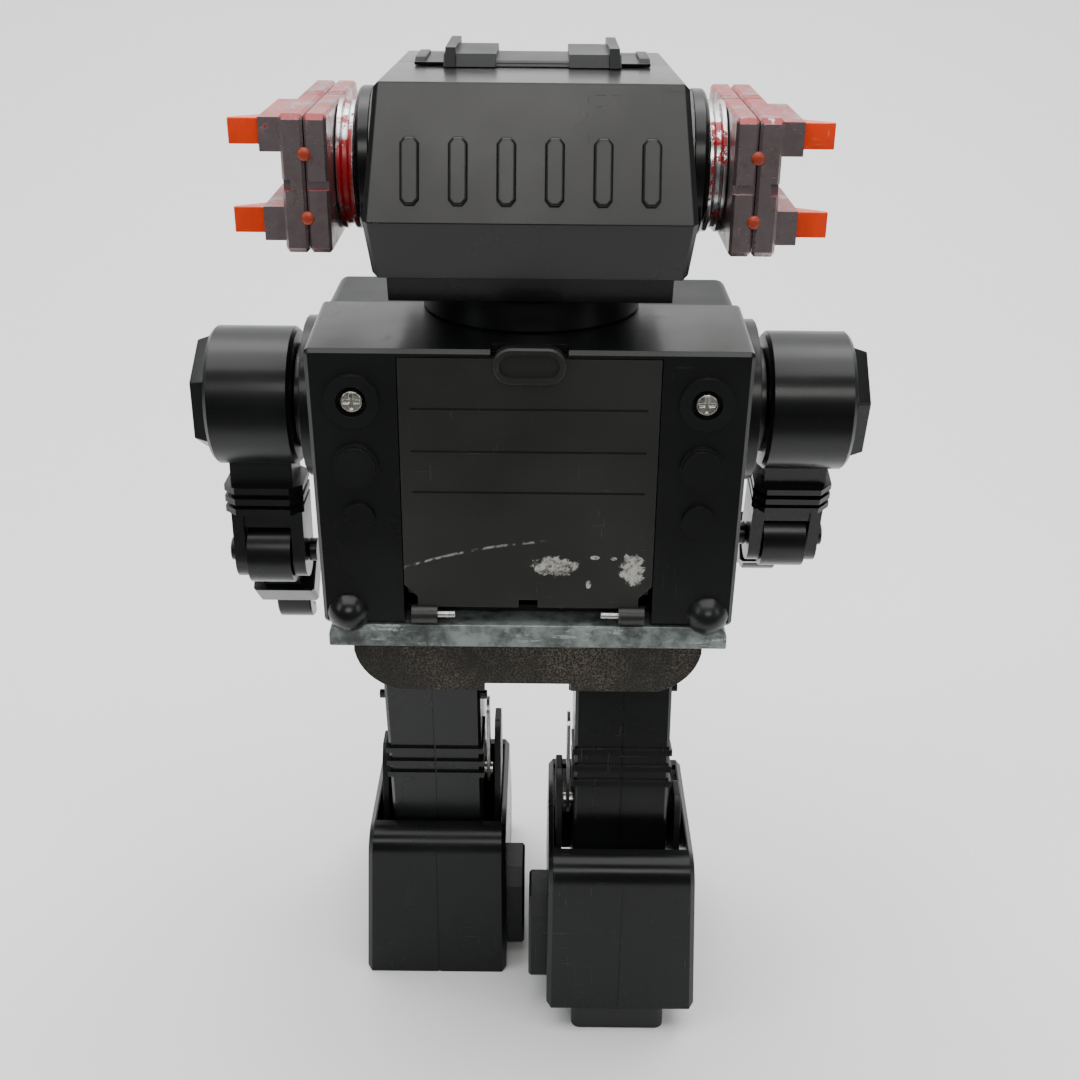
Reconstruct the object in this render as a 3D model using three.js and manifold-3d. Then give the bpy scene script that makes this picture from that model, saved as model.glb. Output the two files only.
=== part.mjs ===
// A battery-driven walking toy robot. Millimetres, +Z up, the robot faces -Y and its left is +X.
// The origin lies on the floor, below the middle of the bounding box.
import * as THREE from 'three';
import { mergeVertices } from 'three/addons/utils/BufferGeometryUtils.js';
import Module from 'manifold-3d';

const wasm = await Module();
wasm.setup();

// ---------------------------------------------------------------- driving dimensions
const GAP = 0.3; // clearance between neighbouring pieces
const WALL = 2.2; // moulded shell thickness
const SEAM_Y = -10.2; // plane where the front and rear shells meet
const ROUND = 28; // sides of a large round piece

const TORSO = {
  top: 239, bottom: 150.3, back: 39.5, front: -47.7, halfSeam: 66.4, halfBack: 64.7, draft: 0.022,
};
const DOOR = { half: 38, bottom: 156.5, top: 236.6, thick: 2.4, pinZ: 153.6, lines: [221.2, 208, 195] };
const CELL = { r: 16.6, half: 29.5, y: 17.4, z: [179.6, 214.4] };
const PLATE = { half: 62.2, bottom: 142.3, front: -45.5 };
const PELVIS = { half: 55.2, bottom: 123.8, back: 35, front: -43, cavity: 50.6 };
const NECK = { r: 34, y: -11.2, top: 249.6 };
const HEAD = {
  top: 311.5, panelTopY: 34, panelFootY: 46, panelFootZ: 276.4, napeY: 36, napeZ: 258.8,
  chinY: 31, chin: 250, faceY: -47, halfTop: 42.3, halfWide: 45.6, halfNape: 44.3, halfChin: 41,
};
const EAR = { y: 0, z: 285, r: 21, inner: 46, outer: 50.2 };
const POD = { inner: 56, seam: 62.4, outer: 69, back: 30, front: -42, bottom: 264, top: 302.2, boxEnd: -7 };
const SHOULDER = { z: 207.6, r: 22.4, inner: 74.8, outer: 102, flangeR: 26, capR: 20, cap: 106.8 };
const ELBOW = { drop: 55.6, r: 11.3, inner: 75.4, outer: 99, droop: THREE.MathUtils.degToRad(42) };
const ARM_SWING = THREE.MathUtils.degToRad(14); // the right arm stands this far forward
const ANKLE = { height: 30, reach: 99.2, raisedReach: 88.1 }; // the ankle pin runs in a slot of the leg
const LEG_SWING = THREE.MathUtils.degToRad(9); // each leg to either side of upright
const HIP = { y: 10, z: ANKLE.height + ANKLE.reach * Math.cos(LEG_SWING) };
// how far the rear boot is raised off its standing shoe
const LIFT = (ANKLE.reach - ANKLE.raisedReach) * Math.cos(LEG_SWING);
const LEG = {
  inner: 15.6, outer: 46.9, back: 21, backFoot: 17, front: -16, foot: -111, ribs: [-31, -37, -42.4],
};
const BOOT = {
  length: 90, heel: 33, height: 60.5, innerFoot: 7.2, outerFoot: 57.6, innerTop: 7.4, outerTop: 55,
};
const CENTRE_SHIFT = 10.895; // moves the middle of the bounding box onto the origin

// ---------------------------------------------------------------- solids
function solid(geometry) {
  const bare = geometry.index ? geometry.toNonIndexed() : geometry;
  bare.deleteAttribute('normal');
  bare.deleteAttribute('uv');
  const merged = mergeVertices(bare, 1e-4);
  return new wasm.Manifold(new wasm.Mesh({
    numProp: 3,
    vertProperties: new Float32Array(merged.attributes.position.array),
    triVerts: new Uint32Array(merged.index.array),
  }));
}

function geometryOf(manifold) {
  const data = manifold.getMesh();
  const geometry = new THREE.BufferGeometry();
  geometry.setAttribute('position', new THREE.BufferAttribute(new Float32Array(data.vertProperties), 3));
  geometry.setIndex(new THREE.BufferAttribute(new Uint32Array(data.triVerts), 1));
  geometry.computeVertexNormals();
  return geometry;
}

const join = (...pieces) => pieces.reduce((sum, piece) => sum.add(piece));
const cut = (body, ...tools) => tools.reduce((rest, tool) => rest.subtract(tool), body);

function box(x0, x1, y0, y1, z0, z1) {
  const geometry = new THREE.BoxGeometry(Math.abs(x1 - x0), Math.abs(y1 - y0), Math.abs(z1 - z0));
  geometry.translate((x0 + x1) / 2, (y0 + y1) / 2, (z0 + z1) / 2);
  return solid(geometry);
}

// Moves every corner of a geometry by a function of its position.
function reshaped(geometry, move) {
  const position = geometry.attributes.position;
  const point = new THREE.Vector3();
  for (let i = 0; i < position.count; i += 1) {
    move(point.fromBufferAttribute(position, i));
    position.setXYZ(i, point.x, point.y, point.z);
  }
  return geometry;
}

function cylinder(r, length, sides = ROUND, rEnd = r) {
  return new THREE.CylinderGeometry(rEnd, r, length, sides);
}

function cylX(r, y, z, x0, x1, sides = ROUND) {
  const geometry = cylinder(r, Math.abs(x1 - x0), sides).rotateZ(-Math.PI / 2);
  return solid(geometry.translate((x0 + x1) / 2, y, z));
}

function cylY(r, x, z, y0, y1, sides = ROUND, rEnd = r) {
  return solid(cylinder(r, Math.abs(y1 - y0), sides, rEnd).translate(x, (y0 + y1) / 2, z));
}

function cylZ(r, x, y, z0, z1, sides = ROUND, rEnd = r) {
  const geometry = cylinder(r, z1 - z0, sides, rEnd).rotateX(Math.PI / 2);
  return solid(geometry.translate(x, y, (z0 + z1) / 2));
}

// A turned piece about a line along X: the profile lists [x, radius] from one end to the other.
function turnedX(profile, y = 0, z = 0, sides = ROUND) {
  const points = profile.map(([x, r]) => new THREE.Vector2(r, x));
  const geometry = new THREE.LatheGeometry([new THREE.Vector2(0, profile[0][0]), ...points,
    new THREE.Vector2(0, profile[profile.length - 1][0])], sides);
  return solid(geometry.rotateZ(-Math.PI / 2).translate(0, y, z));
}

function outline(points) {
  return new THREE.Shape(points.map(([a, b]) => new THREE.Vector2(a, b)));
}

function roundedRect(a0, a1, b0, b1, r) {
  const shape = new THREE.Shape();
  shape.absarc(a1 - r, b0 + r, r, -Math.PI / 2, 0);
  shape.absarc(a1 - r, b1 - r, r, 0, Math.PI / 2);
  shape.absarc(a0 + r, b1 - r, r, Math.PI / 2, Math.PI);
  shape.absarc(a0 + r, b0 + r, r, Math.PI, Math.PI * 1.5);
  shape.closePath();
  return shape;
}

// Extrusions of a flat outline. An edge radius rounds the rims at both ends.
function extruded(shape, depth, edge = 0, curveSegments = 3) {
  const bevel = { bevelEnabled: edge > 0, bevelThickness: edge, bevelSize: edge, bevelOffset: -edge };
  const settings = { depth: depth - 2 * edge, curveSegments, bevelSegments: 1, ...bevel };
  return new THREE.ExtrudeGeometry(shape, settings).translate(0, 0, edge);
}

// outline in (Y, Z), extruded from x0 to x1
function alongX(shape, x0, x1, edge = 0) {
  const turn = new THREE.Matrix4().set(0, 0, 1, x0, 1, 0, 0, 0, 0, 1, 0, 0, 0, 0, 0, 1);
  return extruded(shape, x1 - x0, edge).applyMatrix4(turn);
}

// outline in (X, Z), extruded from y1 forward to y0
function alongY(shape, y0, y1, edge = 0, curveSegments = 3) {
  const turn = new THREE.Matrix4().set(1, 0, 0, 0, 0, 0, -1, y1, 0, 1, 0, 0, 0, 0, 0, 1);
  return extruded(shape, y1 - y0, edge, curveSegments).applyMatrix4(turn);
}

// outline in (X, Y), extruded from z0 up to z1
function alongZ(shape, z0, z1, edge = 0) {
  return extruded(shape, z1 - z0, edge).translate(0, 0, z0);
}

const mirrored = (piece) => piece.mirror([1, 0, 0]);

// ---------------------------------------------------------------- materials and scene graph
const MATERIALS = {
  black: [0x17181a, 0.35, 0], satin: [0x1b1e1c, 0.5, 0], silver: [0xb9aeb0, 0.3, 0.7],
  zinc: [0x8d918a, 0.55, 0.6], pelvis: [0x4a443e, 0.65, 0.4], steel: [0xb8b8b6, 0.3, 1],
  chrome: [0xc9c9ca, 0.15, 1], orange: [0xd8451c, 0.35, 0], red: [0xa01818, 0.3, 0],
  dark: [0x101012, 0.4, 0], cell: [0x3b4a52, 0.4, 0.3], brass: [0xb08b45, 0.35, 1],
};

const robot = new THREE.Group();

function add(parent, name, look, piece) {
  const [color, roughness, metalness] = MATERIALS[look];
  const material = new THREE.MeshStandardMaterial({ color, roughness, metalness });
  const mesh = new THREE.Mesh(geometryOf(piece), material);
  mesh.name = name;
  parent.add(mesh);
  return mesh;
}

const SIDES = [['left', 1], ['right', -1]];
const onSide = (piece, side) => (side > 0 ? piece : mirrored(piece));

// ---------------------------------------------------------------- torso
// The torso narrows a little towards its floor and, behind the seam, towards its back.
function torsoDraft(point) {
  const rear = Math.max(0, (point.y - SEAM_Y) / (TORSO.back - SEAM_Y));
  const backDraft = 1 - (1 - TORSO.halfBack / TORSO.halfSeam) * rear;
  point.x *= backDraft * (1 - TORSO.draft * (TORSO.top - point.z) / (TORSO.top - TORSO.bottom));
}

function torsoBlock(inset, y0, y1, edge) {
  const half = TORSO.halfSeam - inset;
  const shape = roundedRect(-half, half, TORSO.bottom + inset, TORSO.top - inset, edge + 0.5);
  return solid(reshaped(alongY(shape, y0, y1, edge), torsoDraft));
}

function torsoRearShell() {
  const block = cut(
    torsoBlock(0, SEAM_Y - 3, TORSO.back, 1.2)
      .intersect(box(-80, 80, SEAM_Y + GAP / 2, TORSO.back, 140, 250)),
    torsoBlock(WALL, SEAM_Y - 4, TORSO.back - WALL, 0.5),
  );
  const opening = box(-DOOR.half - GAP, DOOR.half + GAP, 30, 50, DOOR.bottom - 8, DOOR.top + GAP);
  const latchNotch = box(-11.2, 11.2, 33, 50, DOOR.top - 6, 250);
  const ring = (x, z, r) => cylY(r, x, z, TORSO.back - 1, TORSO.back + 1.4, 20);
  let shell = cut(block, opening, latchNotch, cylZ(NECK.r - 6, 0, NECK.y, 230, 250));
  const domeSpace = join(
    box(-80, 80, TORSO.back - 2, 50, TORSO.bottom, 170),
    box(-80, 80, TORSO.back + GAP, 50, 140, 170),
  );
  for (const side of [1, -1]) {
    const sink = cylY(4.6, side * 51.4, 223.5, TORSO.back - 1.2, TORSO.back + 3, 16);
    const bore = cylY(2.2, side * 51.4, 223.5, 20, TORSO.back + 3, 8);
    shell = shell.add(ring(side * 51.4, 223.5, 8.1)).subtract(sink).subtract(bore);
    shell = shell.add(ring(side * 51.2, 203.3, 6.9)).add(ring(side * 51, 186.4, 5.1));
    shell = shell.add(cylY(6, side * 51.2, 203.3, TORSO.back, TORSO.back + 2, 20));
    const dome = solid(new THREE.SphereGeometry(6.9, 14, 8).translate(side * 55.6, TORSO.back - 2.2, 154));
    shell = shell.add(dome.intersect(domeSpace));
  }
  return shell;
}

function torsoFrontShell() {
  const block = cut(
    torsoBlock(0.9, TORSO.front, SEAM_Y - GAP / 2 + 3, 3)
      .intersect(box(-80, 80, -60, SEAM_Y - GAP / 2, 140, 250)),
    torsoBlock(WALL + 0.9, TORSO.front + WALL, SEAM_Y + 4, 0.5),
  );
  const window = box(-31, 31, -60, -40, 178, 224);
  const switchSlot = box(-9, 9, -60, -40, 161, 167);
  return cut(block, window, switchSlot, cylZ(NECK.r - 6, 0, NECK.y, 230, 250));
}

function waistPlate() {
  const top = TORSO.bottom - GAP;
  const shape = roundedRect(-PLATE.half, PLATE.half, PLATE.bottom - 10, top, 4);
  const block = solid(alongY(shape, PLATE.front, TORSO.back));
  const rim = block.intersect(box(-80, 80, -60, 60, PLATE.bottom, 160));
  const half = PLATE.half - 1.6;
  return cut(rim, box(-half, half, PLATE.front + 1.6, TORSO.back - 1.6, 130, top - 1.8));
}

function pelvisPan() {
  const top = PLATE.bottom - GAP;
  const shape = new THREE.Shape();
  shape.moveTo(-PELVIS.half, top);
  shape.lineTo(-PELVIS.half, top - 4);
  shape.quadraticCurveTo(-PELVIS.half + 2, PELVIS.bottom + 4, -42, PELVIS.bottom);
  shape.lineTo(42, PELVIS.bottom);
  shape.quadraticCurveTo(PELVIS.half - 2, PELVIS.bottom + 4, PELVIS.half, top - 4);
  shape.lineTo(PELVIS.half, top);
  const shell = cut(
    solid(alongY(shape, PELVIS.front, PELVIS.back, 0, 8)),
    box(-PELVIS.cavity, PELVIS.cavity, PELVIS.front + 2.4, PELVIS.back - 2.4, 110, 150),
    box(-13.8, 13.8, -60, 60, 110, PELVIS.bottom + 2.6),
  );
  const web = box(-3, 3, -4, PELVIS.back - 1, PELVIS.bottom + 2.6, top);
  return cut(shell.add(web), cylX(3 + GAP, HIP.y, HIP.z, -5, 5, 16));
}

function neckCollar() {
  const floor = TORSO.top + GAP;
  const drum = cylZ(NECK.r, 0, NECK.y, floor, NECK.top - 1.5, 36);
  const lip = cylZ(NECK.r, 0, NECK.y, NECK.top - 1.5, NECK.top, 36, NECK.r - 1);
  return cut(drum.add(lip), cylZ(NECK.r - 4, 0, NECK.y, floor - 2, NECK.top + 2, 24));
}

function screw(x) {
  const head = cylY(3.75, x, 223.5, TORSO.back - 0.9, TORSO.back + 1.1, 20, 3.1);
  const shank = cylY(1.7, x, 223.5, 24, TORSO.back - 0.9, 8);
  const slot = (w, h) => box(x - w, x + w, TORSO.back + 0.2, 50, 223.5 - h, 223.5 + h);
  return cut(head.add(shank), slot(2.4, 0.5), slot(0.5, 2.4));
}

function batteryTray() {
  const [low, high] = [DOOR.bottom + 3, DOOR.top - 3];
  const hollow = box(-35.6, 35.6, -0.4, 60, low + 1.8, high - 1.8);
  const divider = box(-34, 34, -1, 8, 196.2, 197.8);
  return cut(box(-37.4, 37.4, -2.4, 36.4, low, high), hollow).add(divider);
}

function cell(z, side) {
  const can = cylX(CELL.r, CELL.y, z, -CELL.half, CELL.half, 36);
  const nub = cylX(4.5, CELL.y, z, side * CELL.half, side * (CELL.half + 1.6), 20);
  return can.add(nub);
}

function contactPlate(side) {
  const plate = box(side * 34.6, side * 35.3, 5, 30, 168, 226);
  const pads = CELL.z.map((z) => cylX(6, CELL.y, z, side * 32, side * 34.8, 20));
  return join(plate, ...pads);
}

function chestPanel() {
  return cut(
    solid(alongY(roundedRect(-34, 34, 175, 227, 4), -50.2, TORSO.front - GAP, 0.8)),
    box(-27.5, 27.5, -60, -40, 181, 221),
  );
}

add(robot, 'torso_rear_shell', 'black', torsoRearShell());
add(robot, 'torso_front_shell', 'black', torsoFrontShell());
add(robot, 'waist_plate', 'zinc', waistPlate());
add(robot, 'pelvis_pan', 'pelvis', pelvisPan());
add(robot, 'neck_collar', 'black', neckCollar());
add(robot, 'chest_bezel', 'silver', chestPanel());
add(robot, 'chest_lens', 'red', box(-27.2, 27.2, -49.4, -46.6, 181.3, 220.7));
add(robot, 'battery_tray', 'dark', batteryTray());
add(robot, 'cell_upper', 'cell', cell(CELL.z[1], 1));
add(robot, 'cell_lower', 'cell', cell(CELL.z[0], -1));
for (const [name, side] of SIDES) {
  add(robot, `rear_screw_${name}`, 'steel', screw(side * 51.4));
  add(robot, `contact_plate_${name}`, 'brass', contactPlate(side));
}

// The motor, its gear frame and the crankshaft fill the front half of the torso.
function gearboxFrame() {
  const shape = outline([[-40, 155.5], [-8, 155.5], [-8, 200], [-40, 200]]);
  const plate = (x) => solid(alongX(shape, x, x + 1.6));
  const bars = [[-36, 196], [-12, 196], [-12, 158]].map(([y, z]) => cylX(2, y, z, -17, 17, 8));
  const shaftHole = cylX(3 + GAP, -24, 164, -30, 30, 12);
  return cut(join(plate(-17.6), plate(16), ...bars), shaftHole);
}

function crankshaft() {
  const shaft = cylX(3, -24, 164, -30, 30, 12);
  const cranks = [1, -1].map((side) => cylX(7, -24 + side * 2.5, 164, side * 20, side * 25, 16));
  return join(shaft, ...cranks, cylX(9.5, -24, 164, -5, 5, 18));
}

const motor = turnedX([[-15.6, 3], [-13, 3], [-13, 10], [13, 10], [13, 3], [15.6, 3]], -24, 186, 24);
add(robot, 'drive_motor', 'steel', motor);
add(robot, 'gearbox_frame', 'steel', gearboxFrame());
add(robot, 'crankshaft', 'steel', crankshaft());
add(robot, 'hip_shaft', 'steel', cylX(3, HIP.y, HIP.z, -50.2, 50.2, 12));
const switchBody = join(box(-8.6, -0.6, -51, -44.6, 161.6, 166.4), box(-14, 5, -45.2, -43.6, 159, 169));
add(robot, 'power_switch', 'orange', switchBody);

// ---------------------------------------------------------------- battery door
function batteryDoor() {
  const y1 = TORSO.back;
  const y0 = y1 - DOOR.thick;
  const low = DOOR.bottom;
  const panel = solid(alongY(outline([
    [-DOOR.half, DOOR.top], [-DOOR.half, 164], [-34, 160], [-29, low], [29, low], [34, 160],
    [DOOR.half, 164], [DOOR.half, DOOR.top],
  ]), y0, y1));
  const grooves = DOOR.lines.map((z) => box(-34.6, 34.6, y1 - 0.5, y1 + 2, z - 0.35, z + 0.35));
  const barrels = [1, -1].map((side) => cylX(3.1, y1 - 0.9, DOOR.pinZ, side * 28, side * 36, 16));
  const arms = [1, -1].map((side) => box(side * 28, side * 34, y0, y1, DOOR.pinZ, 161));
  const bores = [1, -1].map((side) => cylX(1.5, y1 - 0.9, DOOR.pinZ, side * 20, side * 40, 14));
  const stadium = roundedRect(-10.6, 10.6, 229, 240, 5.3);
  const latch = solid(alongY(stadium, y1 - 3, y1 + 1.4, 0.6));
  const thumb = solid(alongY(roundedRect(-8.6, 8.6, 231, 238, 3.4), y1 + 0.4, y1 + 3));
  const catchNotch = box(-2.9, 2.9, y0 - 1, y1 + 1, low - 1, low + 2.6);
  return cut(join(panel, latch, ...barrels, ...arms), ...grooves, ...bores, thumb, catchNotch);
}

add(robot, 'battery_door', 'satin', batteryDoor());
for (const [name, side] of SIDES) {
  add(robot, `door_pin_${name}`, 'steel', cylX(1.2, TORSO.back - 0.9, DOOR.pinZ, side * 22.5, side * 35.5, 14));
}

// ---------------------------------------------------------------- head
function headDraft(point) {
  const { top, panelFootZ, napeZ, halfTop, halfWide, halfNape } = HEAD;
  const upper = THREE.MathUtils.clamp((top - point.z) / (top - panelFootZ), 0, 1);
  const lower = THREE.MathUtils.clamp((panelFootZ - point.z) / (panelFootZ - napeZ), 0, 1);
  const forward = THREE.MathUtils.clamp((SEAM_Y - point.y) / 36, 0, 1);
  const half = halfTop + (halfWide - halfTop) * upper - (halfWide - halfNape) * lower;
  point.x *= (half / halfWide) * (1 - 0.06 * forward);
}

function headBlock(inset, y0, y1) {
  const { top, panelTopY, panelFootY, panelFootZ, napeY, napeZ, faceY, halfWide } = HEAD;
  const side = outline([
    [faceY + 8 + inset, top - inset], [panelTopY - inset * 0.6, top - inset],
    [panelFootY - inset * 1.2, panelFootZ], [napeY - inset, napeZ], [faceY + 6 + inset, napeZ],
    [faceY + inset, napeZ + 10], [faceY + inset, top - 12],
  ]);
  const half = halfWide - inset;
  const shell = solid(reshaped(alongX(side, -half, half, 1.5 - inset / 2), headDraft));
  return shell.intersect(box(-60, 60, y0, y1, 240, 330));
}

function chinBlock(inset, y0, y1, z0 = HEAD.chin) {
  const { napeZ, chinY, faceY, halfChin } = HEAD;
  const side = outline([
    [chinY - inset, napeZ + 0.01], [chinY - 3 - inset, z0], [faceY + 12 + inset, z0], [faceY + 8 + inset, napeZ + 0.01],
  ]);
  return solid(alongX(side, -halfChin + inset, halfChin - inset)).intersect(box(-60, 60, y0, y1, 230, 330));
}

function backPanelRib(x) {
  const { top, panelTopY, panelFootY, panelFootZ } = HEAD;
  const lean = Math.atan2(panelFootY - panelTopY, top - panelFootZ);
  const stadium = outline([
    [-1.2, -9], [1.2, -9], [2.5, -7.4], [2.5, 7.4], [1.2, 9], [-1.2, 9], [-2.5, 7.4], [-2.5, -7.4],
  ]);
  const rib = alongY(stadium, -1.5, 1.5, 0.5).rotateX(lean);
  const z = 289.4;
  return solid(rib.translate(x, panelTopY + (top - z) * Math.tan(lean), z));
}

function headShell(y0, y1) {
  const outer = headBlock(0, y0, y1).add(chinBlock(0, y0, y1));
  const hollow = headBlock(WALL, y0 - 5, y1 + 5).add(chinBlock(WALL, y0 - 5, y1 + 5, HEAD.chin - 5));
  return cut(outer, hollow);
}

function headRearShell() {
  const ribs = [-32.5, -19.5, -6.5, 6.5, 19.5, 32.5].map(backPanelRib);
  const shell = headShell(SEAM_Y + GAP / 2, 60);
  const bore = cylX(6, EAR.y, EAR.z, -60, 60, 20);
  const ribbed = shell.add(cut(join(...ribs), headBlock(WALL / 2, SEAM_Y, 60)));
  return cut(ribbed, bore);
}

function headFrontShell() {
  const shell = headShell(-60, SEAM_Y - GAP / 2);
  return cut(shell, box(-32, 32, -60, -40, 284, 297), box(-20, 20, -60, -40, 264.5, 275));
}

function headCrest() {
  const low = HEAD.top + GAP;
  const bar = (x0, x1, y0, y1, z) => solid(alongX(outline([
    [y0, low], [y0 + 3, z], [y1 - 4, z], [y1, low],
  ]), x0, x1));
  const centre = bar(-11, 11, -30, 2, 313);
  const sides = [[12, 24], [-24, -12]].map(([x0, x1]) => bar(x0 - 1.5, x1 + 1.5, -32, 4, 315));
  const tall = [22, -25].map((x) => bar(x, x + 3, -34, 5, 316.8));
  const plinth = box(-34, 34, -26, 0, low, low + 0.8);
  const small = [31, -34].map((x) => bar(x, x + 3, -26, 0, 313.6));
  return join(centre, ...sides, ...tall, plinth, ...small);
}

function mouthGrille() {
  const bars = [-15, -9, -3, 3, 9, 15].map((x) => box(x - 1.4, x + 1.4, -48.2, -45, 264.8, 274.7));
  return join(box(-19.7, 19.7, -46.4, -45, 264.8, 274.7), ...bars);
}

const head = new THREE.Group();
robot.add(head);
add(head, 'head_rear_shell', 'black', headRearShell());
add(head, 'head_front_shell', 'black', headFrontShell());
add(head, 'head_crest', 'black', headCrest());
add(head, 'visor_lens', 'red', box(-31.7, 31.7, -48, -45, 284.3, 296.7));
add(head, 'mouth_grille', 'silver', mouthGrille());

// ---------------------------------------------------------------- ears and launcher pods
function earDisc() {
  const { r, inner, outer, y, z } = EAR;
  return turnedX([[inner, r], [outer - 1, r], [outer, r - 1]], y, z, 32);
}

function podMount() {
  const [x0, x1] = [EAR.outer + GAP, POD.inner - GAP];
  const profile = [[x0, 19], [x0 + 1.4, 19], [x0 + 1.8, 17.8], [x1 - 1.8, 17.8], [x1 - 1.4, 19], [x1, 19]];
  return turnedX(profile, EAR.y, EAR.z - 1, 28);
}

function podHalf(x0, x1) {
  const { back, front, bottom, top } = POD;
  const shape = outline([
    [front + 5, bottom], [back - 1.5, bottom], [back, bottom + 1.5], [back, top - 1.5], [back - 1.5, top],
    [front + 2, top], [front, top - 3], [front, bottom + 12],
  ]);
  return solid(alongX(shape, x0, x1, 0.8));
}

function podGrooves() {
  const rings = [0, 1, 2].map((i) => box(50, 80, -8 - i * 3.2, -9 - i * 3.2, POD.top - 0.7, POD.top + 2));
  return join(...rings);
}

function podInnerShell() {
  const barrel = cylY(3.4, 59.3, 292, POD.front - 2, POD.front + 26, 16);
  const lower = cylY(3.4, 59.3, 276, POD.front - 2, POD.front + 26, 16);
  const groove = box(50, 80, POD.back - 0.9, POD.back + 2, 281.6, 284.2);
  return cut(podHalf(POD.inner, POD.seam - GAP / 2), podGrooves(), barrel, lower, groove);
}

function podOuterShell() {
  const { seam, outer, back, boxEnd } = POD;
  const rail = (z0, z1) => solid(alongX(outline([
    [boxEnd, z0], [back - 0.8, z0], [back - 0.8, z1], [boxEnd + 2, z1],
  ]), outer - 1, outer + 5.8));
  const slot = (z0, z1) => box(outer + 4.6, outer + 8, back - 16, back - 2, z0, z1);
  const notch = box(66.6, 69.5, back - 2.2, back + 2, 281.2, 284.6);
  const barrels = [292, 276].map((z) => cylY(2.2, 66, z, POD.front - 2, POD.front + 26, 16));
  const body = join(podHalf(seam + GAP / 2, outer), rail(292, 301.3), rail(267.5, 277));
  return cut(body, podGrooves(), notch, slot(294.4, 299), slot(270, 274.6), ...barrels);
}

// A wedge-shaped firing lever, deep at its root and thin at its tip, on a stem that runs in the rail.
function lever(stemZ, bladeZ) {
  const { outer, back } = POD;
  const [root, tip] = [outer + 6.1, outer + 14.6];
  const shape = outline([[root, back - 9.5], [tip, back - 4.4], [tip, back - 3], [root, back - 3]]);
  const stem = box(outer + 4.9, root + 1, back - 7.5, back - 3.4, stemZ, stemZ + 3.8);
  return join(solid(alongZ(shape, bladeZ, bladeZ + 7.2)), stem);
}

for (const [name, side] of SIDES) {
  add(head, `ear_disc_${name}`, 'black', onSide(earDisc(), side));
  add(head, `pod_mount_${name}`, 'chrome', onSide(podMount(), side));
  add(head, `pod_inner_shell_${name}`, 'silver', onSide(podInnerShell(), side));
  add(head, `pod_outer_shell_${name}`, 'silver', onSide(podOuterShell(), side));
  add(head, `upper_lever_${name}`, 'orange', onSide(lever(294.8, 293.6), side));
  add(head, `lower_lever_${name}`, 'orange', onSide(lever(270.4, 269.2), side));
}

// ---------------------------------------------------------------- arms
// Each arm is drawn hanging from the shoulder axis, which is the X axis of its group.
function shoulderFlange() {
  const disc = cylX(SHOULDER.flangeR, SEAM_Y, SHOULDER.z, 67.2, 71.4);
  return join(disc, cylX(17, SEAM_Y, SHOULDER.z, 71.4, SHOULDER.inner - GAP, 32));
}

function upperArm() {
  const { inner, outer, r } = SHOULDER;
  const drum = turnedX([[inner, r - 1.2], [inner + 1.2, r], [outer - 1.2, r], [outer, r - 1.2]]);
  const neck = box(78, 98.4, -8, 8, -44, -12);
  const ribs = [-29.9, -33.8, -37.4].map((z) => solid(
    alongZ(outline([
      [75, -7], [79, -10.8], [97, -10.8], [101, -7], [101, 7], [97, 10.8], [79, 10.8], [75, 7],
    ]), z - 1.1, z + 1.1),
  ));
  const fork = [[75.4, 79.6], [95.2, 99]].map(([x0, x1]) => join(
    box(x0, x1, -9, 9, -55, -38), cylX(ELBOW.r - 2, 0, -ELBOW.drop, x0, x1, 20),
  ));
  const cap = cylX(8.8, 0, 0, outer - 2, outer + 3, 16);
  const body = join(drum, neck, ...ribs).subtract(cylX(ELBOW.r + 1.2, 0, -ELBOW.drop, 79.6, 95.2, 20));
  return cut(join(body, ...fork), cap, cylX(2.8, 0, -ELBOW.drop, 70, 105, 12));
}

function hexCap() {
  const { outer, cap, capR } = SHOULDER;
  const geometry = cylinder(capR, cap - outer - GAP, 6, capR - 1.6).rotateZ(-Math.PI / 2);
  const hex = solid(geometry.translate((cap + outer + GAP) / 2, 0, 0));
  return join(hex, cylX(8.4, 0, 0, outer - 1.6, outer + 1, 16)).subtract(cylX(7, 0, 0, cap - 1, cap + 2, 6));
}

// The forearm and hand are drawn pointing straight forward and then droop about the elbow.
function forearm() {
  const barrel = cylX(ELBOW.r, 0, 0, 80, 94.8);
  const link = solid(alongX(outline([[0, -8], [0, 8], [-24, 8], [-34, 6], [-34, -6]]), 80.6, 94.2));
  const cuff = solid(alongX(outline([[-20, -9.5], [-22, 9], [-34, 7.5], [-34, -9.5]]), 76.4, 98, 1));
  return cut(join(barrel, link, cuff), cylX(2.8, 0, 0, 70, 105, 12));
}

function hand() {
  const claw = new THREE.Shape();
  claw.absarc(-50, 0, 11, Math.PI * 0.28, -Math.PI * 0.28, true);
  claw.absarc(-50, 0, 11, -Math.PI * 0.28, -Math.PI * 0.78, true);
  claw.absarc(-50, 0, 6.6, -Math.PI * 0.78, Math.PI * 0.78);
  claw.absarc(-50, 0, 11, Math.PI * 0.78, Math.PI * 0.28, true);
  const palm = box(79, 95.4, -42, -34 - GAP, -6, 6);
  return join(palm, solid(alongX(claw, 81, 93.4, 0.5)));
}

function elbowPin() {
  return turnedX([[72.4, 4], [75.1, 4], [75.1, 2.5], [99.3, 2.5], [99.3, 4], [101.6, 4]], 0, 0, 14);
}

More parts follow.
